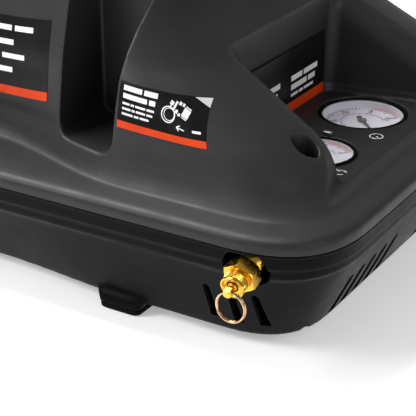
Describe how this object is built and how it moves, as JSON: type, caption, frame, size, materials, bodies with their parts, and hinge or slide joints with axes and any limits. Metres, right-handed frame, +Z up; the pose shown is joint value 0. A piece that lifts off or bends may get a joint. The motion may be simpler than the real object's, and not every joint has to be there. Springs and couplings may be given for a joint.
{
  "type": "portable air compressor",
  "caption": "Low shrouded oil-free air compressor with a moulded cover, gauge console, carry handle and a pull-ring safety valve.",
  "frame": {"origin": "on the ground under the centre of the bounding box, at the level of the feet", "axes": "+X to the gauge end, -Y to the safety valve side, +Z up"},
  "size_m": [0.47, 0.3456, 0.3395],
  "materials": {
    "cover_plastic": "fine textured moulded plastic",
    "shell_plastic": "satin black moulded plastic",
    "rocker_plastic": "glossy",
    "rubber": "matte",
    "brass": "machined and lightly worn",
    "steel": "plain",
    "aluminium": "as cast",
    "copper": "drawn copper tube",
    "tank_paint": "black powder coat",
    "dial_white": "printed dial",
    "gauge_glass": "clear lens",
    "pointer_black": "matte",
    "label_film": "printed film",
    "knob_plastic": "moulded orange"
  },
  "bodies": {
    "frame": {"air_manifold": "brass", "air_tank": "tank_paint", "carry_handle": "cover_plastic", "check_valve": "brass", "console_label": "label_film", "cord_gland": "shell_plastic", "coupler_body": "brass", "cover_screw_front_left": "steel", "cover_screw_front_right": "steel", "cover_screw_rear_left": "steel", "cover_screw_rear_right": "steel", "crankcase": "aluminium", "cylinder_head": "aluminium", "discharge_tube": "copper", "drain_valve_body": "brass", "foot_front_left": "rubber", "foot_front_right": "rubber", "foot_rear_left": "rubber", "foot_rear_right": "rubber", "intake_filter": "shell_plastic", "lower_shell": "shell_plastic", "motor_end_bell": "aluminium", "motor_mount": "steel", "motor_stator": "steel", "outlet_gauge_case": "shell_plastic", "outlet_gauge_dial": "dial_white", "outlet_gauge_lens": "gauge_glass", "pressure_switch": "shell_plastic", "pump_cylinder": "aluminium", "regulator_body": "aluminium", "safety_valve_body": "brass", "start_capacitor": "shell_plastic", "supply_tube": "aluminium", "switch_frame": "shell_plastic", "tank_gauge_case": "shell_plastic", "tank_gauge_dial": "dial_white", "tank_gauge_lens": "gauge_glass", "tank_saddle_left": "steel", "tank_saddle_right": "steel", "top_cover": "cover_plastic"},
    "drive_shaft": {"motor_rotor": "steel", "eccentric": "steel", "cooling_fan": "shell_plastic"},
    "piston": {"piston_and_rod": "aluminium"},
    "tank_pointer": {"tank_gauge_pointer": "pointer_black"},
    "outlet_pointer": {"outlet_gauge_pointer": "pointer_black"},
    "valve_stem": {"safety_valve_stem": "brass"},
    "pull_ring": {"pull_ring": "steel"},
    "regulator_knob": {"regulator_knob": "knob_plastic"},
    "coupler_sleeve": {"coupler_sleeve": "steel"},
    "rocker": {"switch_rocker": "rocker_plastic"},
    "drain_knob": {"drain_valve_knob": "brass"}
  },
  "joints": [
    {"name": "motor_spin", "type": "hinge", "parent": "frame", "child": "drive_shaft", "pos_m": [0, 0, 0.1805], "axis": [1, 0, 0], "continuous": true},
    {"name": "piston_stroke", "type": "slide", "parent": "frame", "child": "piston", "axis": [0, 0, 1], "range_m": [-0.016, 0]},
    {"name": "tank_pointer_swing", "type": "hinge", "parent": "frame", "child": "tank_pointer", "pos_m": [0.168, 0.031, 0.0756], "axis": [0, 0, -1], "range_deg": [0, 270]},
    {"name": "outlet_pointer_swing", "type": "hinge", "parent": "frame", "child": "outlet_pointer", "pos_m": [0.1729, -0.0387, 0.0793], "axis": [0, 0, -1], "range_deg": [0, 270]},
    {"name": "valve_stem_pull", "type": "slide", "parent": "frame", "child": "valve_stem", "axis": [0, -0.9613, -0.2756], "range_m": [0, 0.003], "stiffness_N_per_m": 1500, "springref_m": -0.002},
    {"name": "ring_swing", "type": "hinge", "parent": "valve_stem", "child": "pull_ring", "pos_m": [0.191, -0.16961, 0.05588], "axis": [1, 0, 0], "range_deg": [-95, 25]},
    {"name": "regulator_turn", "type": "hinge", "parent": "frame", "child": "regulator_knob", "pos_m": [0.17, 0.1546, 0.0465], "axis": [0, 1, 0], "range_deg": [0, 330]},
    {"name": "coupler_sleeve_pull", "type": "slide", "parent": "frame", "child": "coupler_sleeve", "axis": [0, -1, 0], "range_m": [0, 0.003], "stiffness_N_per_m": 1200, "springref_m": -0.002},
    {"name": "rocker_press", "type": "hinge", "parent": "frame", "child": "rocker", "pos_m": [-0.12, 0.1505, 0.0465], "axis": [1, 0, 0], "range_deg": [0, 9]},
    {"name": "drain_turn", "type": "hinge", "parent": "frame", "child": "drain_knob", "pos_m": [-0.06, 0, 0.0063], "axis": [0, 0, 1], "range_deg": [0, 180]}
  ]
}
